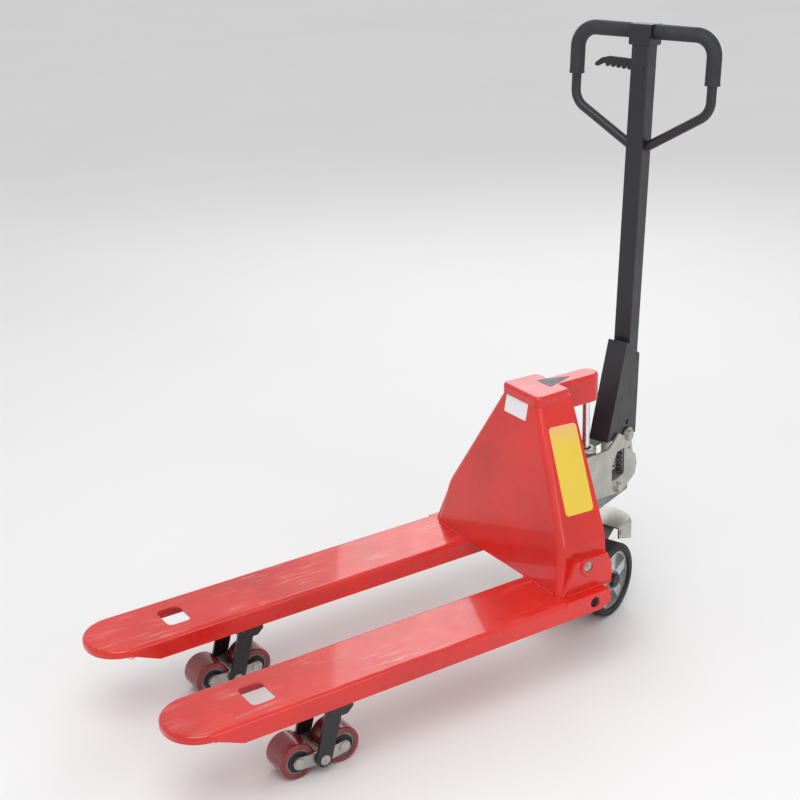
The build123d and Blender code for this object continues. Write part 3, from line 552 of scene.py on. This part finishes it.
def roller_seals():
    """Dark bearing seals on both faces of every load roller."""
    sizes = LOAD_SEAL_RADIUS, LOAD_SEAL_THICK, LOAD_SEAL_FLAT
    for roller in [f"{side}_{where}" for side in SIDES for where in ("front", "rear")]:
        low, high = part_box(f"{roller}_load_core")
        middle = (low + high) / 2
        for face, x, way in (("outer", high.x, 1), ("inner", low.x, -1)):
            centre = (x - way * LOAD_SEAL_SINK, middle.y, middle.z)
            name = f"{roller}_roller_{face}_seal"
            ring(name, ROOM, centre, (way, 0, 0), *sizes, f"{roller}_roller", "black_plastic")


# ---------------------------------------------------------------- pump and steering

def wheel_details():
    """Moulded rib on each tyre's faces and a seal round each hub's cap."""
    ribs = RIB_RADIUS, RIB_THICK, RIB_FLAT
    seals = HUB_SEAL_RADIUS, HUB_SEAL_THICK, HUB_SEAL_FLAT
    for side, way in SIDES.items():
        body = f"{side}_wheel"
        for face, reach in TYRE_FACES.items():
            centre = (way * reach, 0, WHEEL_RADIUS)
            ring(f"{side}_tyre_{face}_rib", PUMP_SPACE, centre, ACROSS, *ribs, body, "tyre_rubber")
        centre = (way * HUB_FACE, 0, WHEEL_RADIUS)
        ring(f"{side}_hub_seal", PUMP_SPACE, centre, ACROSS, *seals, body, "black_plastic")


def pump_details():
    """Wiper round the ram, filler plug and the weld beads of the guard's bracket."""
    wiper = WIPER_RADIUS, WIPER_THICK, WIPER_FLAT
    ring("ram_wiper", PUMP_SPACE, (0, 0, GLAND_TOP), UP, *wiper, "pump", "black_plastic")
    bolt_head("filler_plug", PUMP_SPACE, PLUG_PLACE, UP, PLUG_RADIUS, PLUG_HEIGHT, "pump", "zinc_plate")
    for side, way in SIDES.items():
        run = [(way * GUARD_WELD_X, y, GUARD_WELD_Z) for y in GUARD_WELD_ENDS]
        weld_bead(f"{side}_guard_weld", PUMP_SPACE, run, FINE_BEAD, "pump", "zinc_plate")


def coil_spring():
    """Return spring, on the frame's own coils, riding on the pump in place of the frame's spring, which is hidden.
    """
    piece = start_piece("coil_spring", frame["nodes"]["return_spring"].data.copy())
    bpy.ops.object.mode_set(mode="EDIT")
    bpy.ops.mesh.select_all(action="SELECT")
    bpy.ops.mesh.remove_doubles(threshold=MERGE_DISTANCE)
    bpy.ops.object.mode_set(mode="OBJECT")
    settle("coil_spring", ROOM, "pump", "spring_steel", angle=ROUND_ANGLE)
    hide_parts("return_spring")
    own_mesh(piece)


# ---------------------------------------------------------------- handle

def handle_details():
    """Lips at the grips' ends and the head of the lever's pin."""
    lip = LIP_RADIUS, LIP_THICK, LIP_FLAT
    for side, way in SIDES.items():
        centre = (way * GRIP_HALF, CROSSBAR_Y, LIP_Z)
        ring(f"{side}_grip_lip", HANDLE_SPACE, centre, UP, *lip, "handle", "grip_rubber")
    pin_head = PIN_HEAD_RADIUS, PIN_HEAD_HEIGHT, "handle", "black_paint", PIN_HEAD_SIDES
    bolt_head("lever_pin_head", HANDLE_SPACE, PIN_HEAD_PLACE, -BACK, *pin_head)


# ---------------------------------------------------------------- room, light and camera

def floor():
    """Plain pale floor."""
    deselect()
    bpy.ops.mesh.primitive_plane_add(size=FLOOR_SIZE)
    ground = bpy.context.object
    ground.name = "floor"
    material = new_finish("pale_floor", specular_ior_level=0.2)
    shade = clouds(material, scale=0.8, span=(0.3, 0.7), detail=3)
    colour = blend_colours(material, shade, (0.90, 0.90, 0.90), (0.87, 0.87, 0.875))
    drive(material, colour, clouds(material, scale=3, span=(0.3, 0.7), to=(0.6, 0.75)))
    ground.data.materials.append(material)


def lamp(name, spot, aim, size, power):
    """Soft square lamp that points at a place."""
    light = bpy.data.lights.new(name, "AREA")
    light.shape, light.size, light.energy = "SQUARE", size, power
    lit = put_in_room(name, light)
    lit.location = spot
    lit.rotation_euler = (Vector(aim) - Vector(spot)).to_track_quat("-Z", "Y").to_euler()


def light_room():
    """Pale surround with a key lamp above the forks, one at the right side and one behind."""
    world = bpy.data.worlds.new("soft_room")
    world.use_nodes = True
    glow = world.node_tree.nodes["Background"]
    glow.inputs["Color"].default_value = (1, 1, 1, 1)
    glow.inputs["Strength"].default_value = ROOM_GLOW
    bpy.context.scene.world = world
    bpy.context.scene.view_settings.view_transform = "Standard"
    for name, settings in LAMPS.items():
        lamp(name, *settings)


def aim_camera():
    """Camera to the right of the fork tips and above them, turned towards the tower."""
    sideways, level = math.sin(CAMERA_AZIMUTH), math.cos(CAMERA_AZIMUTH)
    rise, reach = math.sin(CAMERA_ELEVATION), math.cos(CAMERA_ELEVATION)
    back = Vector((sideways * reach, -level * reach, rise))
    across = Matrix.Rotation(CAMERA_ROLL, 3, back) @ Vector((level, sideways, 0))
    data = bpy.data.cameras.new("camera")
    data.lens, data.sensor_width = CAMERA_LENS, CAMERA_SENSOR
    data.shift_x, data.shift_y = CAMERA_SHIFT
    camera = put_in_room("camera", data)
    x, y, z = CAMERA_PLACE
    camera.matrix_world = space(across, back.cross(across), (x, y + TIP_Y, z))
    bpy.context.scene.camera = camera


aim_camera()
floor()
light_room()
coat_frame()
tower_panels()
chassis_welds()
roller_seals()
wheel_details()
pump_details()
coil_spring()
handle_details()
